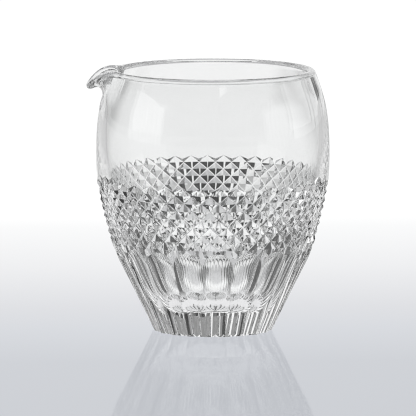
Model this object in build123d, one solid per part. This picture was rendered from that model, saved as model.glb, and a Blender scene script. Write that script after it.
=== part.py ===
from build123d import *
from math import atan2, cos, radians, sin
import os

# A cut crystal mixing glass for stirred drinks, in millimetres.
# The glass stands on z = 0 with its axis on Z, and its pouring lip points along -X.
# It is one piece of glass: every feature below is blown, pulled or cut in that piece.

# overall sizes
HEIGHT = 125.0
BELLY_R = 55.7
BELLY_Z = 87.5
FOOT_R = 28.4
CONE_TOP_Z = 33.0
CONE_TOP_R = 44.8

# rim: a fire-polished round edge on a wall that leans inward
RIM_WALL = 4.2
RIM_R = 47.0
RIM_LEAN = 18.4

# upper wall, from the spring line of the pouring lip to the rim
LIP_SPRING_Z = 104.0
LIP_SPRING_OUT = 54.5
LIP_SPRING_IN = 50.1

# pouring lip
LIP_HALF_ANGLE = 24.0
LIP_SECTOR = 27.0
LIP_TIP_R = 58.6
LIP_TIP_Z = 117.5
LIP_TIP_ROUND = 1.7
LIP_TIP_TURN = 96.0
LIP_SIDE_RISE = 2.75

# inside: a round bowl that runs out on to a small flat floor
FLOOR_Z = 13.6
FLOOR_R = 14.0

# belt of diamond cutting: crossed V grooves that leave four-sided points
CELLS_ROUND = 40
CELL_ROWS = 9
BELT_TOP_Z = 74.1
ROW_PITCH = 3.79
GROOVE_DEPTH = 1.65
TOP_FLANK = 1.9
POINT_CLEARANCE = 0.03

# long flutes round the foot
FLUTES = 20
FLUTE_CUTTER_R = 12.0
FLUTE_FOOT_R = 27.0
FLUTE_SHOULDER_R = 42.6
FLUTE_SHOULDER_Z = 35.0
FLUTE_NOSE = 17.0

# star cut under the foot: V grooves from the middle that run out before the rim of the foot
STAR_RAYS = 20
STAR_R = 17.5
STAR_TIP_R = 22.0
STAR_NOTCH_R = 18.7
STAR_DEPTH = 2.0
STAR_MIDDLE_DEPTH = 0.3
STAR_RIDGE_DEPTH = 0.12

os.makedirs("parts", exist_ok=True)

belt_bottom_z = BELT_TOP_Z - CELL_ROWS * ROW_PITCH


def mix(a, b, w):
    """The value a fraction w of the way from a to b."""
    return a + (b - a) * w


def polar(r, angle, z):
    """A point at radius r and height z, at an angle in degrees measured from -Y towards +X."""
    a = radians(angle)
    return Vector(r * sin(a), -r * cos(a), z)


# ---------------------------------------------------------------- upper wall and pouring lip

def wall_section(w):
    """Edges of the wall above the spring line, in the r-z plane, as (x, z) on Plane.XZ.

    w is 0 round the plain rim and 1 in the middle of the pouring lip, where the wall is
    bent outward into a short level trough.
    """
    turn = mix(RIM_LEAN, -LIP_TIP_TURN, w)
    heading = (-sin(radians(turn)), cos(radians(turn)))
    side = (heading[1], -heading[0])
    cap_r = mix(RIM_WALL / 2, LIP_TIP_ROUND, w)
    rise = 4 * w * (1 - w) * LIP_SIDE_RISE
    cap_x = mix(RIM_R, LIP_TIP_R, w)
    cap_z = mix(HEIGHT - RIM_WALL / 2, LIP_TIP_Z, w) + rise

    cap_outer = (cap_x + cap_r * side[0], cap_z + cap_r * side[1])
    cap_end = (cap_x + cap_r * heading[0], cap_z + cap_r * heading[1])
    cap_inner = (cap_x - cap_r * side[0], cap_z - cap_r * side[1])

    outer = [
        (LIP_SPRING_OUT, LIP_SPRING_Z),
        (mix(53.6, 53.55, w), mix(109.0, 109.5, w) + 0.05 * rise),
        (mix(52.3, 52.7, w), mix(113.8, 114.0, w) + 0.3 * rise),
        (mix(50.8, 54.2, w), mix(118.5, 116.5, w) + 0.7 * rise),
        cap_outer,
    ]
    inner = [
        (LIP_SPRING_IN, LIP_SPRING_Z),
        (mix(49.2, 49.6, w), mix(109.0, 109.5, w) + 0.05 * rise),
        (mix(47.9, 49.8, w), mix(113.8, 114.2, w) + 0.3 * rise),
        (mix(46.5, 52.1, w), mix(118.0, 118.2, w) + 0.7 * rise),
        cap_inner,
    ]
    up = (-0.15, 1.0)
    outer_edge = Edge.make_spline([(x, 0, z) for x, z in outer],
                                  tangents=[(up[0], 0, up[1]), (heading[0], 0, heading[1])])
    cap_edge = Edge.make_three_point_arc((cap_outer[0], 0, cap_outer[1]),
                                         (cap_end[0], 0, cap_end[1]),
                                         (cap_inner[0], 0, cap_inner[1]))
    inner_edge = Edge.make_spline([(x, 0, z) for x, z in reversed(inner)],
                                  tangents=[(-heading[0], 0, -heading[1]), (-up[0], 0, -up[1])])
    return outer_edge, cap_edge, inner_edge


def lip_weight(angle):
    """How far the wall is pulled into the lip, an angle in degrees away from its middle."""
    if abs(angle) >= LIP_HALF_ANGLE:
        return 0.0
    return cos(radians(90 * angle / LIP_HALF_ANGLE)) ** 2


def lip_wire(angle):
    """Closed outline of the wall above the spring line, turned to its place on the lip."""
    closing = Edge.make_line((LIP_SPRING_IN, 0, LIP_SPRING_Z), (LIP_SPRING_OUT, 0, LIP_SPRING_Z))
    outline = Wire([*wall_section(lip_weight(angle)), closing])
    return outline.rotate(Axis.Z, 180 + angle)


# ---------------------------------------------------------------- body of the glass

# the outside is a straight foot cone, then the round belly up to the spring line
cone_edge = Edge.make_line((FOOT_R, 0, 0), (CONE_TOP_R, 0, CONE_TOP_Z))
belly_edge = Edge.make_spline(
    [(CONE_TOP_R, 0, CONE_TOP_Z), (50.6, 0, 50.0), (54.5, 0, 67.0),
     (BELLY_R, 0, BELLY_Z), (LIP_SPRING_OUT, 0, LIP_SPRING_Z)],
    tangents=[(CONE_TOP_R - FOOT_R, 0, CONE_TOP_Z), (-0.15, 0, 1.0)])


def outline_radius(z):
    """Outer radius of the uncut body at height z, between the foot and the spring line."""
    if z <= CONE_TOP_Z:
        return mix(FOOT_R, CONE_TOP_R, z / CONE_TOP_Z)
    low, high = 0.0, 1.0
    for _ in range(40):
        middle = (low + high) / 2
        if belly_edge.position_at(middle).Z < z:
            low = middle
        else:
            high = middle
    return belly_edge.position_at(low).X


outer_edge, cap_edge, inner_edge = wall_section(0)
inside_edge = Edge.make_spline(
    [(LIP_SPRING_IN, 0, LIP_SPRING_Z), (50.8, 0, 87.5), (49.2, 0, 73.0), (44.4, 0, 55.0),
     (36.2, 0, 37.0), (30.0, 0, 25.0), (26.5, 0, 20.0), (FLOOR_R, 0, FLOOR_Z)],
    tangents=[(0.15, 0, -1.0), (-1.0, 0, 0)])
floor_edge = Edge.make_line((FLOOR_R, 0, FLOOR_Z), (0, 0, FLOOR_Z))
axis_edge = Edge.make_line((0, 0, FLOOR_Z), (0, 0, 0))
foot_edge = Edge.make_line((0, 0, 0), (FOOT_R, 0, 0))

profile = Face(Wire([cone_edge, belly_edge, outer_edge, cap_edge, inner_edge,
                     inside_edge, floor_edge, axis_edge, foot_edge]))
glass = revolve(profile, Axis.Z, 360).solid()

# the sector of plain wall that the pouring lip replaces
sector_box = extrude(
    make_face(Polyline((0, 0), *[(90 * cos(radians(180 + a)), 90 * sin(radians(180 + a)))
                                 for a in (-LIP_SECTOR, 0, LIP_SECTOR)], close=True)),
    40)
glass = (glass - Pos(0, 0, LIP_SPRING_Z) * sector_box).solid()

lip_angles = [-LIP_SECTOR, -LIP_HALF_ANGLE, -18, -12, -6, 0, 6, 12, 18, LIP_HALF_ANGLE, LIP_SECTOR]
lip = Solid.make_loft([lip_wire(a) for a in lip_angles])
# the tolerance joins the lip's edges to the turned body's, which differ by under a micrometre
glass = glass.fuse(lip, tol=0.001).solid()


# ---------------------------------------------------------------- belt of diamond cutting

def lattice_point(column, row):
    """A corner of the diamond cutting, on a grid of half cells.

    Even columns and rows together are crossings of two grooves, at full depth. The others
    are the points of the pyramids, flush with the body. The grooves run out to the surface
    in the first and last rows.
    """
    angle = column * 180 / CELLS_ROUND
    z = BELT_TOP_Z - row * ROW_PITCH
    crossing = (column + row) % 2 == 0
    inner_row = 0 < row < CELL_ROWS
    depth = GROOVE_DEPTH if crossing and inner_row else POINT_CLEARANCE
    return polar(outline_radius(z) - depth, angle, z)


def triangle(a, b, c):
    return Face(Wire.make_polygon([a, b, c], close=True))


def top_flank_point(column):
    """Where the upper flanks of two top grooves meet on the surface, above their crossing."""
    z = BELT_TOP_Z - ROW_PITCH + TOP_FLANK
    return polar(outline_radius(z) - POINT_CLEARANCE, column * 180 / CELLS_ROUND, z)


columns = 2 * CELLS_ROUND
grid = [[lattice_point(c, r) for c in range(columns)] for r in range(CELL_ROWS + 1)]
facets = []
for r in range(CELL_ROWS):
    for c in range(columns):
        upper_left = grid[r][c]
        upper_right = grid[r][(c + 1) % columns]
        lower_left = grid[r + 1][c]
        lower_right = grid[r + 1][(c + 1) % columns]
        falls = (c + r) % 2 == 0
        if falls:
            facets.append(triangle(upper_left, lower_left, lower_right))
        else:
            facets.append(triangle(upper_right, lower_left, lower_right))
        if r > 0:
            facets.append(triangle(upper_left, lower_right if falls else lower_left, upper_right))
        elif falls:
            flank = top_flank_point(c + 1)
            facets.append(triangle(upper_left, lower_right, flank))
            facets.append(triangle(upper_left, flank, upper_right))
        else:
            flank = top_flank_point(c)
            facets.append(triangle(upper_right, flank, lower_left))
            facets.append(triangle(upper_right, upper_left, flank))
facets.append(Face(Wire.make_polygon(grid[0], close=True)))
facets.append(Face(Wire.make_polygon(grid[CELL_ROWS], close=True)))
drum = Solid(Shell(facets))

# the drum becomes a ring that overlaps the inside of a recess turned in the body
core_profile = Face(Wire.make_polygon(
    [(0, 0, belt_bottom_z - 5), (43.0, 0, belt_bottom_z - 5), (43.0, 0, belt_bottom_z),
     (51.4, 0, BELT_TOP_Z), (51.4, 0, BELT_TOP_Z + 5), (0, 0, BELT_TOP_Z + 5)], close=True))
belt = (drum - revolve(core_profile, Axis.Z, 360)).solid()
recess_profile = Face(Wire.make_polygon(
    [(45.0, 0, belt_bottom_z), (70, 0, belt_bottom_z), (70, 0, BELT_TOP_Z),
     (52.5, 0, BELT_TOP_Z)], close=True))
glass = (glass - revolve(recess_profile, Axis.Z, 360)).solid()
glass = (glass + belt).solid()

# ---------------------------------------------------------------- long flutes

# the cutter lies along the foot cone, and its rounded nose leaves the arch at the top
rise_x = FLUTE_SHOULDER_R - FLUTE_FOOT_R
rise_z = FLUTE_SHOULDER_Z
slope = atan2(rise_x, rise_z)
along = (sin(slope), cos(slope))
outward = (cos(slope), -sin(slope))
shoulder_x = FLUTE_SHOULDER_R + FLUTE_CUTTER_R * outward[0]
shoulder_z = FLUTE_SHOULDER_Z + FLUTE_CUTTER_R * outward[1]
cutter_length = 60.0

nose_edge = Edge.make_ellipse(FLUTE_NOSE, FLUTE_CUTTER_R, Plane.XY, 0, 90)
cutter_outline = Wire([
    Edge.make_line((0, 0, 0), (-cutter_length, 0, 0)),
    Edge.make_line((-cutter_length, 0, 0), (-cutter_length, FLUTE_CUTTER_R, 0)),
    Edge.make_line((-cutter_length, FLUTE_CUTTER_R, 0), (0, FLUTE_CUTTER_R, 0)),
    nose_edge,
    Edge.make_line((FLUTE_NOSE, 0, 0), (0, 0, 0)),
])
cutter = revolve(Face(cutter_outline), Axis.X, 360)
cutter_plane = Plane(origin=(shoulder_x, 0, shoulder_z), x_dir=(along[0], 0, along[1]),
                     z_dir=(0, 1, 0))
cutter = cutter_plane * cutter
cutters = [cutter.rotate(Axis.Z, 360 * k / FLUTES) for k in range(FLUTES)]
glass = (glass - cutters).solid()

# ---------------------------------------------------------------- star cut under the foot

# the cutter stands a little below the foot, so its top alone shapes the star
star_pitch = 360 / STAR_RAYS
star_base_z = -3.0
middle = Vector(0, 0, STAR_MIDDLE_DEPTH)
star_faces = []
star_outline = []
for k in range(STAR_RAYS):
    ray_angle = k * star_pitch
    deep = polar(STAR_R, ray_angle, STAR_DEPTH)
    tip = polar(STAR_TIP_R, ray_angle, -0.1)
    low_tip = polar(STAR_TIP_R, ray_angle, star_base_z)
    for side in (-0.5, 0.5):
        ridge_angle = ray_angle + side * star_pitch
        ridge = polar(STAR_R, ridge_angle, STAR_RIDGE_DEPTH)
        notch = polar(STAR_NOTCH_R, ridge_angle, -0.1)
        low_notch = polar(STAR_NOTCH_R, ridge_angle, star_base_z)
        star_faces.append(triangle(middle, deep, ridge))
        star_faces.append(triangle(deep, notch, ridge))
        star_faces.append(triangle(deep, tip, notch))
        star_faces.append(Face(Wire.make_polygon([tip, low_tip, low_notch, notch], close=True)))
    star_outline.append(low_tip)
    star_outline.append(low_notch)
star_faces.append(Face(Wire.make_polygon(star_outline, close=True)))
star = Solid(Shell(star_faces))
glass = (glass - star).solid()

glass.label = "mixing_glass"
export_step(glass, "parts/mixing_glass.step")
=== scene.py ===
from math import atan2, cos, pi, radians, sin

import bmesh
import bpy
from mathutils import Matrix, Vector


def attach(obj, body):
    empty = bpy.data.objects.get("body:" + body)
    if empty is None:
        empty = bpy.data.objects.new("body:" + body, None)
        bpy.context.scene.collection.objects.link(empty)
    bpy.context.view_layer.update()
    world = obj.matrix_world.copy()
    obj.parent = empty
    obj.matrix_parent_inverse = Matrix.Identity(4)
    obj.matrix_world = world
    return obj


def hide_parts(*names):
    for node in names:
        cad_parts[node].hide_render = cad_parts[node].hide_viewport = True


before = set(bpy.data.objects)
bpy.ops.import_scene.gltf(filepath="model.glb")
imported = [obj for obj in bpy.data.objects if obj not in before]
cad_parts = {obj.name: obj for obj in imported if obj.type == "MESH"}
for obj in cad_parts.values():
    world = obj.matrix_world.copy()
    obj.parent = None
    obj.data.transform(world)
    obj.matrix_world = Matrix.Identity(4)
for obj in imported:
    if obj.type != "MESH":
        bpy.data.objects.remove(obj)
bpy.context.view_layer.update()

MM = 0.001

# ------------------------------------------------------------------ sizes of the glass, in mm

HEIGHT = 125.0
RIM_WALL, RIM_R, RIM_LEAN = 4.2, 47.0, 18.4             # the wall leans in by RIM_LEAN degrees
CREASE, CREASE_WIDTH = 0.4, 0.9                         # a shallow dent just under the round rim

# the wall above the spring line rises to the rim, or runs out into the lip
SPRING_Z, SPRING_OUT, SPRING_IN = 104.0, 54.5, 50.1
LIP_HALF_ANGLE, LIP_TIP_R, LIP_TIP_Z = 24.0, 58.6, 117.5
LIP_TIP_ROUND, LIP_TIP_TURN, LIP_SIDE_RISE = 1.7, 96.0, 2.75
LIP_BEARING = -90.0             # the lip points along -X
# points that the wall passes through outside and inside, where it is plain and in the lip's middle
PLAIN_OUTSIDE = ((53.6, 109.0), (52.3, 113.8), (50.8, 118.5))
LIP_OUTSIDE = ((53.55, 109.5), (52.7, 114.0), (54.2, 116.5))
PLAIN_INSIDE = ((49.2, 109.0), (47.9, 113.8), (46.5, 118.0))
LIP_INSIDE = ((49.6, 109.5), (49.8, 114.2), (52.1, 118.2))
RISE_SHARES = (0.05, 0.3, 0.7)  # of the rise of the lip's sides, at those points

FLOOR_R, FLOOR_Z = 14.0, 13.6   # flat middle of the floor of the bowl

# the belt of diamond cutting
CELLS, ROWS = 40, 9
BELT_TOP_Z, ROW_PITCH, GROOVE_DEPTH, TOP_FLANK = 74.1, 3.79, 1.65, 1.9
BELT_BOTTOM_Z = BELT_TOP_Z - ROWS * ROW_PITCH
VALLEY_FLAT = 0.24              # each side of a groove's narrow polished bottom

# the flutes, cut by a round bar that lies along the foot cone and ends in a nose
FLUTES, CUTTER_R, NOSE = 20, 12.0, 17.0
CUTTER_SECTIONS = (-60.0, -45.0, -37.0, -30.0, -22.0, -15.0, -8.0, -3.0)    # behind the nose
FLUTE_FOOT_R, FLUTE_SHOULDER_R, FLUTE_SHOULDER_Z = 27.0, 42.6, 35.0

# the star under the foot
STAR_RAYS, STAR_R, STAR_TIP_R, STAR_NOTCH_R = 20, 17.5, 22.0, 18.7
STAR_DEPTH, STAR_MIDDLE_DEPTH, STAR_RIDGE_DEPTH = 2.0, 0.3, 0.12
STAR_EDGE_Z, STAR_UNDER_Z = -0.1, -3.0                  # the cutter starts below the foot

# how finely the shapes are drawn
FINE = 4                        # columns of smooth wall per half cell of the belt
HALF_CELLS = 2 * CELLS
COLUMNS = HALF_CELLS * FINE
CONE_STEPS, BELLY_STEPS, INSIDE_STEPS = 14, 30, 110
SHOULDER_HEIGHTS = (34.0, 35.5, 37.0, 38.5)             # between the foot cone and the belt
UNDERSIDE_RINGS = (0.97, 0.8, 0.6, 0.4, 0.2)            # shares of the foot's radius
FLOOR_RINGS = (0.75, 0.5, 0.25)                         # shares of the floor's radius
WALL_STEPS, RIM_STEPS = 26, 22
PLAIN_PART, CREASED_PART, CREASE_STEPS = 0.9, 0.1, 14   # of the upper wall's outside
CUTTER_SIDES, NOSE_STEPS, BATCHES = 144, 44, 4

# mending after the cuts, in metres, and the angle from which an edge stays sharp
WELD, SLIVER = 2e-6, 1e-6
SHARP_ANGLE = 14


def mix(a, b, w):
    return a + (b - a) * w


def polar(r, angle, z):
    """A point in metres from a radius and height in mm and a bearing in degrees from -Y."""
    a = radians(angle)
    return Vector((r * sin(a), -r * cos(a), z)) * MM


class Curve:
    """A smooth curve through a few points in the r-z plane, with set end directions."""

    def __init__(self, points, start, end):
        self.p = [Vector(p) for p in points]
        n = len(self.p)
        steps = [(b - a).length for a, b in zip(self.p, self.p[1:])]
        total = sum(steps)
        self.t = [0.0]
        for s in steps:
            self.t.append(self.t[-1] + s / total)
        m = [None] * n
        m[0] = Vector(start).normalized() * total
        m[-1] = Vector(end).normalized() * total
        # cubic spline: solve for the inner tangents, row by row of a three-banded system
        a, b, c, d = [], [], [], []
        for i in range(1, n - 1):
            h0, h1 = self.t[i] - self.t[i - 1], self.t[i + 1] - self.t[i]
            rhs = 3 * ((self.p[i + 1] - self.p[i]) * h0 / h1 + (self.p[i] - self.p[i - 1]) * h1 / h0)
            lo, hi = h1, h0
            if i == 1:
                rhs = rhs - m[0] * lo
                lo = 0.0
            if i == n - 2:
                rhs = rhs - m[-1] * hi
                hi = 0.0
            a.append(lo)
            b.append(2 * (h0 + h1))
            c.append(hi)
            d.append(rhs)
        for i in range(1, len(b)):
            w = a[i] / b[i - 1]
            b[i] -= w * c[i - 1]
            d[i] = d[i] - d[i - 1] * w
        if b:
            x = d[-1] / b[-1]
            m[len(b)] = x
            for i in range(len(b) - 2, -1, -1):
                x = (d[i] - x * c[i]) / b[i]
                m[i + 1] = x
        self.m = m

    def at(self, t):
        """The point at parameter t, from 0 at the start to 1 at the end."""
        i = 0
        while i < len(self.t) - 2 and t > self.t[i + 1]:
            i += 1
        h = self.t[i + 1] - self.t[i]
        u = (t - self.t[i]) / h
        return (self.p[i] * (2 * u**3 - 3 * u**2 + 1) + self.m[i] * h * (u**3 - 2 * u**2 + u)
                + self.p[i + 1] * (3 * u**2 - 2 * u**3) + self.m[i + 1] * h * (u**3 - u**2))

    def parameter_at(self, z):
        """Parameter of the point at height z, on a curve that only rises."""
        lo, hi = 0.0, 1.0
        for _ in range(40):                 # halvings, enough to pass below a rounding error
            mid = (lo + hi) / 2
            if self.at(mid)[1] < z:
                lo = mid
            else:
                hi = mid
        return lo

    def samples(self, n):
        return [self.at(i / n) for i in range(n + 1)]


# the foot is a straight cone, and the belly is a smooth curve from its top to the spring line
FOOT_R, CONE_TOP_R, CONE_TOP_Z = 28.4, 44.8, 33.0
belly = Curve([(CONE_TOP_R, CONE_TOP_Z), (50.6, 50.0), (54.5, 67.0), (55.7, 87.5),
               (SPRING_OUT, SPRING_Z)], (CONE_TOP_R - FOOT_R, CONE_TOP_Z), (-0.15, 1.0))
inside = Curve([(SPRING_IN, SPRING_Z), (50.8, 87.5), (49.2, 73.0), (44.4, 55.0), (36.2, 37.0),
                (30.0, 25.0), (26.5, 20.0), (FLOOR_R, FLOOR_Z)], (0.15, -1.0), (-1.0, 0.0))


def outline_radius(z):
    """Radius of the outside at a height below the spring line."""
    if z <= CONE_TOP_Z:
        return mix(FOOT_R, CONE_TOP_R, z / CONE_TOP_Z)
    return belly.at(belly.parameter_at(z))[0]


def lip_weight(angle):
    """0 where the rim is plain, rising smoothly to 1 in the middle of the lip."""
    a = (angle - LIP_BEARING + 180) % 360 - 180
    return 0.0 if abs(a) >= LIP_HALF_ANGLE else cos(radians(90 * a / LIP_HALF_ANGLE)) ** 2


def upper_wall(w):
    """Points of the wall above the spring line, up the outside, round the rim, down the inside.

    w is the lip's weight: the wall is a blend of the plain rim and the middle of the lip.
    """
    turn = radians(mix(RIM_LEAN, -LIP_TIP_TURN, w))
    heading = Vector((-sin(turn), cos(turn)))
    side = Vector((heading[1], -heading[0]))
    cap_r = mix(RIM_WALL / 2, LIP_TIP_ROUND, w)
    rise = 4 * w * (1 - w) * LIP_SIDE_RISE
    cap = Vector((mix(RIM_R, LIP_TIP_R, w), mix(HEIGHT - RIM_WALL / 2, LIP_TIP_Z, w) + rise))

    def blend(plain, lip):
        return [(mix(p[0], q[0], w), mix(p[1], q[1], w) + share * rise)
                for p, q, share in zip(plain, lip, RISE_SHARES)]

    outer = Curve([(SPRING_OUT, SPRING_Z), *blend(PLAIN_OUTSIDE, LIP_OUTSIDE), cap + side * cap_r],
                  (-0.15, 1.0), heading)
    inner = Curve([(SPRING_IN, SPRING_Z), *blend(PLAIN_INSIDE, LIP_INSIDE), cap - side * cap_r],
                  (-0.15, 1.0), heading)
    outside = [outer.at(PLAIN_PART * i / WALL_STEPS) for i in range(WALL_STEPS)]
    outside += [outer.at(PLAIN_PART + CREASED_PART * i / CREASE_STEPS) for i in range(CREASE_STEPS + 1)]
    points = []
    for p in outside:
        below = (p - (cap + side * cap_r)).length
        crease = 0.0
        if below < CREASE_WIDTH:
            crease = (1 - w) * CREASE * sin(pi * below / CREASE_WIDTH) ** 2
        points.append(p - side * crease)
    for i in range(1, RIM_STEPS):
        a = pi * i / RIM_STEPS
        points.append(cap + side * (cap_r * cos(a)) + heading * (cap_r * sin(a)))
    return points + list(reversed(inner.samples(WALL_STEPS)))


# ------------------------------------------------------------------ the blank, and the cuts in it

def link(ob):
    bpy.context.scene.collection.objects.link(ob)
    return ob


def mesh_object(name, bm):
    """Turn a bmesh into an object of the scene."""
    mesh = bpy.data.meshes.new(name)
    bm.to_mesh(mesh)
    bm.free()
    return link(bpy.data.objects.new(name, mesh))


def build_blank():
    """The whole glass with its belt, before the flutes and the star are cut."""
    bm = bmesh.new()

    def ring(r, z):
        return [bm.verts.new(polar(r, 360 * k / COLUMNS, z)) for k in range(COLUMNS)]

    def bridge(lower, upper):
        for k in range(COLUMNS):
            following = (k + 1) % COLUMNS
            f = bm.faces.new([lower[k], lower[following], upper[following], upper[k]])
            f.smooth = True

    # foot cone, up to the bottom of the belt
    heights = [CONE_TOP_Z * i / CONE_STEPS for i in range(CONE_STEPS + 1)]
    rings = [ring(outline_radius(z), z) for z in (*heights, *SHOULDER_HEIGHTS, BELT_BOTTOM_Z)]
    for a, b in zip(rings, rings[1:]):
        bridge(a, b)
    low_ring = rings[-1]

    # underside
    under_rings = [rings[0]] + [ring(FOOT_R * f, 0) for f in UNDERSIDE_RINGS]
    for a, b in zip(under_rings, under_rings[1:]):
        bridge(b, a)
    centre = bm.verts.new((0, 0, 0))
    for k in range(COLUMNS):
        bm.faces.new([under_rings[-1][(k + 1) % COLUMNS], under_rings[-1][k], centre])

    # belly above the belt: its lower edge is the zigzag that the top grooves leave
    top_ring = []
    for k in range(COLUMNS):
        step = abs((k / FINE + 1) % 2 - 1)          # 0 over a peak, 1 over a trough
        z = BELT_TOP_Z - (ROW_PITCH - TOP_FLANK) * step
        top_ring.append(bm.verts.new(polar(outline_radius(z), 360 * k / COLUMNS, z)))
    start = belly.parameter_at(BELT_TOP_Z)
    previous = top_ring
    for i in range(1, BELLY_STEPS):
        p = belly.at(mix(start, 1.0, i / BELLY_STEPS))
        current = ring(p[0], p[1])
        bridge(previous, current)
        previous = current

    # upper wall, lip and rim
    sections = [upper_wall(lip_weight(360 * k / COLUMNS)) for k in range(COLUMNS)]
    for i in range(len(sections[0])):
        current = [bm.verts.new(polar(sections[k][i][0], 360 * k / COLUMNS, sections[k][i][1]))
                   for k in range(COLUMNS)]
        bridge(previous, current)
        previous = current

    # inside wall and floor
    floor = [(FLOOR_R * f, FLOOR_Z) for f in FLOOR_RINGS]
    for p in inside.samples(INSIDE_STEPS)[1:] + floor:
        current = ring(p[0], p[1])
        bridge(previous, current)
        previous = current
    centre = bm.verts.new(Vector((0, 0, FLOOR_Z)) * MM)
    for k in range(COLUMNS):
        f = bm.faces.new([previous[k], previous[(k + 1) % COLUMNS], centre])
        f.smooth = True

    # the belt: crossed V grooves leave four-sided points, so that point and pit take turns
    grid = [[top_ring[c * FINE] for c in range(HALF_CELLS)]]
    for r in range(1, ROWS):
        z = BELT_TOP_Z - r * ROW_PITCH
        row = []
        for c in range(HALF_CELLS):
            depth = GROOVE_DEPTH if (c + r) % 2 == 0 else 0.0
            row.append(bm.verts.new(polar(outline_radius(z) - depth, 360 * c / HALF_CELLS, z)))
        grid.append(row)
    grid.append([low_ring[c * FINE] for c in range(HALF_CELLS)])
    for r in range(ROWS):
        for c in range(HALF_CELLS):
            d = (c + 1) % HALF_CELLS
            # upper left, upper right, lower left and lower right corner of this half cell
            ul, ur, ll, lr = grid[r][c], grid[r][d], grid[r + 1][c], grid[r + 1][d]
            falls = (c + r) % 2 == 0        # the valley runs down to the right, or else to the left
            if r == 0:
                # a groove's flank up to the zigzag, and the point below it
                bm.faces.new([ul, ll, lr] if falls else [ur, ll, lr])
                edge = [top_ring[(c * FINE + i) % COLUMNS] for i in range(FINE + 1)]
                for a, b in zip(edge, edge[1:]):
                    bm.faces.new([lr if falls else ll, b, a])
                continue
            bm.faces.new([ul, lr, ur] if falls else [ul, ll, ur])
            if r < ROWS - 1:
                bm.faces.new([ul, ll, lr] if falls else [ur, ll, lr])
            else:
                edge = [low_ring[(c * FINE + i) % COLUMNS] for i in range(FINE + 1)]
                for a, b in zip(edge, edge[1:]):
                    bm.faces.new([ul if falls else ur, a, b])

    # polishing leaves a narrow flat at the bottom of each groove
    valleys = []
    for r in range(1, ROWS - 1):
        for c in range(HALF_CELLS):
            d = (c + 1) % HALF_CELLS
            ends = (grid[r][c], grid[r + 1][d]) if (c + r) % 2 == 0 else (grid[r][d], grid[r + 1][c])
            edge = bm.edges.get(ends)
            if edge:
                valleys.append(edge)
    bmesh.ops.bevel(bm, geom=valleys, offset=VALLEY_FLAT * MM, offset_type="OFFSET", segments=1,
                    profile=0.5, affect="EDGES", clamp_overlap=True)
    return mesh_object("mixing_glass_crystal", bm)


def build_cutters(which):
    """Cutters for the long flutes: each is a round bar along the foot cone with a rounded nose."""
    slope = atan2(FLUTE_SHOULDER_R - FLUTE_FOOT_R, FLUTE_SHOULDER_Z)
    along = Vector((sin(slope), cos(slope)))
    outward = Vector((cos(slope), -sin(slope)))
    shoulder = Vector((FLUTE_SHOULDER_R, FLUTE_SHOULDER_Z)) + outward * CUTTER_R
    bm = bmesh.new()
    profile = [(s, CUTTER_R) for s in CUTTER_SECTIONS]
    for i in range(NOSE_STEPS):
        a = pi / 2 * i / NOSE_STEPS
        profile.append((NOSE * sin(a), CUTTER_R * cos(a)))

    def vertex(turn, s, rho, a):
        """s along the cutter, rho and a round its axis, on the cutter that is turned by turn."""
        p = shoulder + along * s + outward * (rho * cos(a))
        x, y = p[0], rho * sin(a)
        place = Vector((x * sin(turn) + y * cos(turn), -x * cos(turn) + y * sin(turn), p[1]))
        return bm.verts.new(place * MM)

    for k in which:
        turn = radians(360 * k / FLUTES)
        rings = [[vertex(turn, s, rho, 2 * pi * j / CUTTER_SIDES) for j in range(CUTTER_SIDES)]
                 for s, rho in profile]
        for a, b in zip(rings, rings[1:]):
            for j in range(CUTTER_SIDES):
                following = (j + 1) % CUTTER_SIDES
                f = bm.faces.new([a[j], a[following], b[following], b[j]])
                f.smooth = True
        tip = vertex(turn, NOSE, 0, 0)
        for j in range(CUTTER_SIDES):
            f = bm.faces.new([rings[-1][j], rings[-1][(j + 1) % CUTTER_SIDES], tip])
            f.smooth = True
        end = vertex(turn, CUTTER_SECTIONS[0], 0, 0)
        for j in range(CUTTER_SIDES):
            bm.faces.new([rings[0][(j + 1) % CUTTER_SIDES], rings[0][j], end])
    bmesh.ops.recalc_face_normals(bm, faces=bm.faces)
    return mesh_object("flute_cutters", bm)


def build_star():
    """The star under the foot: V grooves that meet at the centre and run out before the edge."""
    bm = bmesh.new()
    centre = bm.verts.new(Vector((0, 0, STAR_MIDDLE_DEPTH)) * MM)
    under = bm.verts.new(Vector((0, 0, STAR_UNDER_Z)) * MM)

    def crown(r, z, shift=0.0):
        pitch = 360 / STAR_RAYS
        return [bm.verts.new(polar(r, (k + shift) * pitch, z)) for k in range(STAR_RAYS)]

    deep = crown(STAR_R, STAR_DEPTH)
    tips = crown(STAR_TIP_R, STAR_EDGE_Z)
    ridges = crown(STAR_R, STAR_RIDGE_DEPTH, 0.5)
    notches = crown(STAR_NOTCH_R, STAR_EDGE_Z, 0.5)
    low_tips = crown(STAR_TIP_R, STAR_UNDER_Z)
    low_notches = crown(STAR_NOTCH_R, STAR_UNDER_Z, 0.5)
    for k in range(STAR_RAYS):
        for here, there, side in ((k, k, 1), (k, k - 1, -1)):
            faces = [[centre, deep[here], ridges[there]],
                     [deep[here], notches[there], ridges[there]],
                     [deep[here], tips[here], notches[there]],
                     [tips[here], low_tips[here], low_notches[there], notches[there]],
                     [low_tips[here], under, low_notches[there]]]
            for f in faces:
                bm.faces.new(f if side > 0 else f[::-1])
    bmesh.ops.recalc_face_normals(bm, faces=bm.faces)
    return mesh_object("star_cutter", bm)


glass = build_blank()

# neighbouring flutes overlap, so they are cut in batches of flutes that stand apart
for cutters in [build_cutters(range(k, FLUTES, BATCHES)) for k in range(BATCHES)] + [build_star()]:
    mod = glass.modifiers.new("cut", "BOOLEAN")
    mod.operation = "DIFFERENCE"
    mod.solver = "EXACT"
    mod.object = cutters
    dg = bpy.context.evaluated_depsgraph_get()
    cut = bpy.data.meshes.new_from_object(glass.evaluated_get(dg))
    glass.modifiers.clear()
    glass.data = cut
    bpy.data.objects.remove(cutters)

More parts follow.
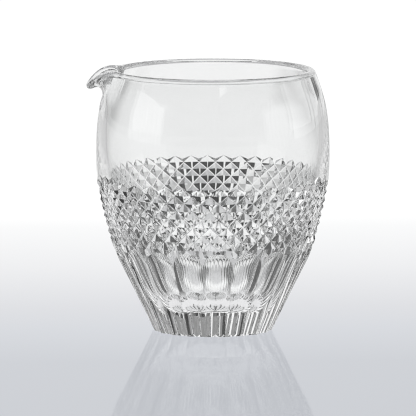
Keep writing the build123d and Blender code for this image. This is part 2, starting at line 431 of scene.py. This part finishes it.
# weld what the cuts left, and keep only the cut edges sharp
bm = bmesh.new()
bm.from_mesh(glass.data)
bmesh.ops.remove_doubles(bm, verts=bm.verts, dist=WELD)
bmesh.ops.dissolve_degenerate(bm, edges=bm.edges, dist=SLIVER)
bmesh.ops.triangulate(bm, faces=[f for f in bm.faces if len(f.verts) > 4])
bmesh.ops.recalc_face_normals(bm, faces=bm.faces)
for f in bm.faces:
    f.smooth = True
for e in bm.edges:
    e.smooth = e.calc_face_angle(0.0) < radians(SHARP_ANGLE)
bm.to_mesh(glass.data)
bm.free()
glass.data.name = "mixing_glass_crystal"


# ------------------------------------------------------------------ materials

def node(tree, kind, x=0, y=0, **inputs):
    n = tree.nodes.new(kind)
    n.location = (x, y)
    for name, value in inputs.items():
        n.inputs[name.replace("_", " ")].default_value = value
    return n


def new_material(name, x):
    """An empty material with an output node at x: the material, its tree and the output's socket."""
    mat = bpy.data.materials.new(name)
    mat.use_nodes = True
    mat.node_tree.nodes.clear()
    out = node(mat.node_tree, "ShaderNodeOutputMaterial", x)
    return mat, mat.node_tree, out.inputs["Surface"]


def map_range(tree, value, source, target, x, y):
    """Carry a value from one range over to another, and clamp it there."""
    span = node(tree, "ShaderNodeMapRange", x, y, From_Min=source[0], From_Max=source[1],
                To_Min=target[0], To_Max=target[1])
    tree.links.new(value, span.inputs["Value"])
    return span.outputs["Result"]


def colour_mix(tree, a, b, factor, x, y, blend="MIX"):
    """A mix of two colours. Each of a, b and factor is a constant or a socket."""
    both = node(tree, "ShaderNodeMix", x, y)
    both.data_type = "RGBA"
    both.blend_type = blend
    for name, value in (("A", a), ("B", b), ("Factor", factor)):
        if isinstance(value, bpy.types.NodeSocket):
            tree.links.new(value, both.inputs[name])
        else:
            both.inputs[name].default_value = value
    return both.outputs["Result"]


def tone_ramp(tree, value, stops, span, x, y):
    """A colour ramp over a span of distances, from a few (distance, colour) stops."""
    low, high = span
    share = map_range(tree, value, span, (0.0, 1.0), x, y)
    ramp = node(tree, "ShaderNodeValToRGB", x + 200, y)
    elements = ramp.color_ramp.elements
    for element, (place, tone) in zip(elements, (stops[0], stops[-1])):
        element.position = (place - low) / (high - low)
        element.color = (*tone, 1)
    for place, tone in stops[1:-1]:
        elements.new((place - low) / (high - low)).color = (*tone, 1)
    tree.links.new(share, ramp.inputs["Fac"])
    return ramp.outputs["Color"]


def crystal():
    """Clear crystal: colourless, fire polished, with the faintest ripple of hand-worked glass."""
    mat, tree, surface = new_material("crystal", 600)
    bsdf = node(tree, "ShaderNodeBsdfPrincipled", 200, Base_Color=(0.985, 0.99, 0.99, 1),
                Roughness=0.0, IOR=1.53, Transmission_Weight=1.0)
    coords = node(tree, "ShaderNodeTexCoord", -900)
    ripple = node(tree, "ShaderNodeTexNoise", -600, Scale=28.0, Detail=1.0, Roughness=0.4)
    tree.links.new(coords.outputs["Object"], ripple.inputs["Vector"])
    bump = node(tree, "ShaderNodeBump", -200, Strength=0.05, Distance=0.0004)
    tree.links.new(ripple.outputs["Fac"], bump.inputs["Height"])
    tree.links.new(bump.outputs["Normal"], bsdf.inputs["Normal"])
    tree.links.new(bsdf.outputs["BSDF"], surface)
    return mat


glass.data.materials.clear()
glass.data.materials.append(crystal())
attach(glass, "root")
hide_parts("mixing_glass")


# ------------------------------------------------------------------ studio, in metres

# tones of the table at distances behind (+) and in front of (-) the glass
TABLE_SPAN = (-0.60, 0.50)
# what the camera sees: a glowing sweep of painted light, grey in front and white at the back
SWEEP_TONES = ((-0.60, (0.53, 0.55, 0.59)), (-0.11, (0.58, 0.60, 0.64)), (0.0, (0.65, 0.67, 0.71)),
               (0.08, (0.71, 0.72, 0.75)), (0.235, (0.85, 0.855, 0.87)), (0.39, (0.955, 0.96, 0.965)),
               (0.45, (1.04, 1.04, 1.04)))
# what the glass shows, painted shade: shaded in front, light behind, and SIDE_TONE times as light at the
# sides
SHADE_TONES = ((-0.60, (0.10, 0.10, 0.10)), (0.10, (0.15, 0.15, 0.15)), (0.15, (0.90, 0.90, 0.90)),
               (0.32, (0.94, 0.94, 0.94)), (0.45, (0.955, 0.955, 0.955)))
SIDE_FALL, SIDE_TONE = (0.13, 0.28), 0.50
# the painted shade ends at this distance from the glass, where the table is at least this light
SHADE_END, OPEN_TONE = (0.18, 0.30), 0.56
# the patch of painted light under the glass with a painted shadow behind it: centre line behind the glass,
# half width, half length, soft edge and tones
PATCH_Y, PATCH_WIDE, PATCH_LONG = 0.12, 0.050, 0.17
PATCH_EDGE = (1.10, 0.92)
PATCH_TONES = ((-0.60, (0.50, 0.50, 0.51)), (-0.045, (0.50, 0.50, 0.51)), (-0.028, (0.84, 0.84, 0.85)),
               (0.022, (0.84, 0.84, 0.85)), (0.03, (1.20, 1.20, 1.20)), (0.046, (1.20, 1.20, 1.20)),
               (0.062, (0.76, 0.76, 0.77)), (0.13, (0.54, 0.54, 0.55)), (0.50, (0.54, 0.54, 0.55)))
GLOSS, GLOSS_ROUGHNESS = 0.12, 0.04

FLOOR_HALF = 8.0
BACKDROP_Y, BACKDROP_HALF, BACKDROP_HIGH = 2.3, 1.6, 1.1

# height as a share of straight up, and grey tone
SKY_TONES = ((0.0, 0.05), (0.30, 0.04), (0.60, 0.02), (1.0, 0.02))

PANELS_AWAY = 6.0               # further than any camera
# the glowing panels round the glass: name, bearings and heights in degrees, and how bright each is
SOFT_BOXES = (("back_left", (-35, -10), (0, 17), 1.0), ("back_left_high", (-58, -14), (18, 31), 1.0),
              ("back_middle", (-9, 12), (5, 17), 0.16), ("back_right_low", (1, 12), (0, 5), 1.05),
              ("back_right", (13, 30), (11, 17), 1.0), ("back_high", (-14, 60), (18, 31), 0.27),
              ("right_back", (36, 58), (0, 17), 0.85), ("right_side", (60, 95), (0, 24), 1.3),
              ("right_front", (97, 128), (0, 18), 0.6), ("window", (-124, -84), (0, 22), 1.1),
              ("front_right_high", (95, 175), (31, 48), 1.05), ("front_top", (140, 220), (51, 64), 1.1))


def painted_patch_mask(tree, position):
    """The mask of the patch of painted light and shadow: 1 inside a soft-edged oval, longer from front to
    back, and 0 outside it.
    """
    oval = node(tree, "ShaderNodeVectorMath", -500, -600)
    oval.operation = "MULTIPLY_ADD"
    oval.inputs[1].default_value = (1 / PATCH_WIDE, 1 / PATCH_LONG, 0)
    oval.inputs[2].default_value = (0, -PATCH_Y / PATCH_LONG, 0)
    tree.links.new(position, oval.inputs[0])
    reach = node(tree, "ShaderNodeVectorMath", -300, -600)
    reach.operation = "LENGTH"
    tree.links.new(oval.outputs["Vector"], reach.inputs[0])
    return map_range(tree, reach.outputs["Value"], PATCH_EDGE, (0.0, 1.0), -100, -600)


def table():
    """A pale glossy table that glows with painted light, growing white towards the back of the studio.

    The camera sees it as a clean even sweep. Every other ray sees painted shade round the glass,
    darker in front and at the sides, apart from a patch of painted light under the glass with a
    painted shadow behind it, and that painted light and shade is what the cut facets pick up.
    """
    mat, tree, surface = new_material("pale_table_painted_light", 1300)
    position = node(tree, "ShaderNodeTexCoord", -900).outputs["Object"]
    split = node(tree, "ShaderNodeSeparateXYZ", -700)
    tree.links.new(position, split.inputs["Vector"])
    # the glowing sweep of painted light that the camera sees, then the painted shade and patch that other
    # rays see
    painted_sweep = tone_ramp(tree, split.outputs["Y"], SWEEP_TONES, TABLE_SPAN, -500, 300)
    painted_shade = tone_ramp(tree, split.outputs["Y"], SHADE_TONES, TABLE_SPAN, -500, 0)
    painted_patch = tone_ramp(tree, split.outputs["Y"], PATCH_TONES, TABLE_SPAN, -500, 150)

    # painted shade: the table is SIDE_TONE times as light at the sides of the glass
    aside = node(tree, "ShaderNodeMath", -500, -300)
    aside.operation = "ABSOLUTE"
    tree.links.new(split.outputs["X"], aside.inputs[0])
    fall = map_range(tree, aside.outputs["Value"], SIDE_FALL, (1.0, SIDE_TONE), -300, -300)
    painted_side_shade = colour_mix(tree, (0, 0, 0, 1), painted_shade, fall, 0, 0)

    # the painted shade ends away from the glass, where the table is at least OPEN_TONE
    away = node(tree, "ShaderNodeVectorMath", -500, -450)
    away.operation = "LENGTH"
    tree.links.new(position, away.inputs[0])
    open_table = map_range(tree, away.outputs["Value"], SHADE_END, (0.0, OPEN_TONE), -300, -450)
    painted_shade_ground = colour_mix(tree, painted_side_shade, open_table, 1.0, 100, -250, "LIGHTEN")
    # the patch of painted light under the glass and painted shadow behind it
    painted_ground = colour_mix(tree, painted_shade_ground, painted_patch, painted_patch_mask(tree, position), 200, -100)

    # the camera sees the sweep of painted light, every other ray sees the painted shade, light and shadow
    # round the glass
    path = node(tree, "ShaderNodeLightPath", 200, 400)
    seen = colour_mix(tree, painted_ground, painted_sweep, path.outputs["Is Camera Ray"], 400, 100)
    glow = node(tree, "ShaderNodeEmission", 700, 100, Strength=1.0)
    tree.links.new(seen, glow.inputs["Color"])
    gloss = node(tree, "ShaderNodeBsdfGlossy", 700, -100, Color=(1, 1, 1, 1), Roughness=GLOSS_ROUGHNESS)
    both = node(tree, "ShaderNodeMixShader", 1000, Fac=GLOSS)
    tree.links.new(glow.outputs["Emission"], both.inputs[1])
    tree.links.new(gloss.outputs["BSDF"], both.inputs[2])
    tree.links.new(both.outputs["Shader"], surface)
    return mat


def card(name, strength):
    """A plain white glow."""
    mat, tree, surface = new_material(name, 300)
    glow = node(tree, "ShaderNodeEmission", 0, Color=(1, 1, 1, 1), Strength=strength)
    tree.links.new(glow.outputs["Emission"], surface)
    return mat


def panel(name, corners, material):
    """A flat four-cornered piece of the studio."""
    mesh = bpy.data.meshes.new(name)
    mesh.from_pydata([Vector(c) for c in corners], [], [tuple(range(len(corners)))])
    mesh.materials.append(material)
    ob = link(bpy.data.objects.new(name, mesh))
    return ob


def soft_box(name, bearings, heights, strength):
    """A glowing panel between two bearings from +Y towards +X and two heights, in degrees."""
    corners = []
    for b, h in ((0, 0), (1, 0), (1, 1), (0, 1)):
        bearing, height = radians(bearings[b]), radians(heights[h])
        corners.append((PANELS_AWAY * sin(bearing) * cos(height), PANELS_AWAY * cos(bearing) * cos(height),
                        PANELS_AWAY * sin(height)))
    panel(name, corners, card(name, strength))


def studio_sky():
    """The dark room above and behind the panels."""
    world = bpy.data.worlds.new("studio")
    world.use_nodes = True
    tree = world.node_tree
    coords = node(tree, "ShaderNodeTexCoord", -900)
    split = node(tree, "ShaderNodeSeparateXYZ", -700)
    tree.links.new(coords.outputs["Generated"], split.inputs["Vector"])
    greys = [(height, (tone, tone, tone)) for height, tone in SKY_TONES]
    sky = tone_ramp(tree, split.outputs["Z"], greys, (0.0, 1.0), -500, 0)
    tree.links.new(sky, tree.nodes["Background"].inputs["Color"])
    return world


bpy.context.scene.world = studio_sky()
floor_corners = [(x * FLOOR_HALF, y * FLOOR_HALF, 0) for x, y in ((-1, -1), (1, -1), (1, 1), (-1, 1))]
panel("floor", floor_corners, table())
for name, bearings, heights, strength in SOFT_BOXES:
    soft_box(name, bearings, heights, strength)

# a white backdrop that only mirror reflections see, which is what the polished table shows
backdrop_corners = [(x * BACKDROP_HALF, BACKDROP_Y, z * BACKDROP_HIGH)
                    for x, z in ((-1, 0), (1, 0), (1, 1), (-1, 1))]
backdrop = panel("backdrop", backdrop_corners, card("backdrop", 1.0))
backdrop.visible_camera = False
backdrop.visible_diffuse = False
backdrop.visible_transmission = False

# ------------------------------------------------------------------ camera

azimuth, elevation = radians(-3.0), radians(7.1)
VIEW_WIDTH = 198.7648 * MM      # across the square view, at the glass
LOOK_ASIDE, LOOK_UP = -2.29344 * MM, 57.86158 * MM      # from the centre of the foot, across the view

direction = Vector((sin(azimuth) * cos(elevation), -cos(azimuth) * cos(elevation), sin(elevation)))
right = Vector((cos(azimuth), sin(azimuth), 0))
up = direction.cross(right)
cam_data = bpy.data.cameras.new("camera")
cam_data.lens = 800
cam_data.sensor_width = 36
cam_data.clip_end = 50
distance = VIEW_WIDTH * cam_data.lens / cam_data.sensor_width
cam = link(bpy.data.objects.new("camera", cam_data))
cam.location = right * LOOK_ASIDE + up * LOOK_UP + direction * distance
cam.rotation_euler = Matrix((right, up, direction)).transposed().to_euler()

bpy.context.scene.camera = cam

scene = bpy.context.scene
scene.view_settings.view_transform = "Standard"
scene.cycles.filter_width = 1.1
# light is turned back many times between the facets before it leaves the glass
scene.cycles.max_bounces = 48
scene.cycles.transmission_bounces = 48
scene.cycles.glossy_bounces = 48
scene.cycles.transparent_max_bounces = 16
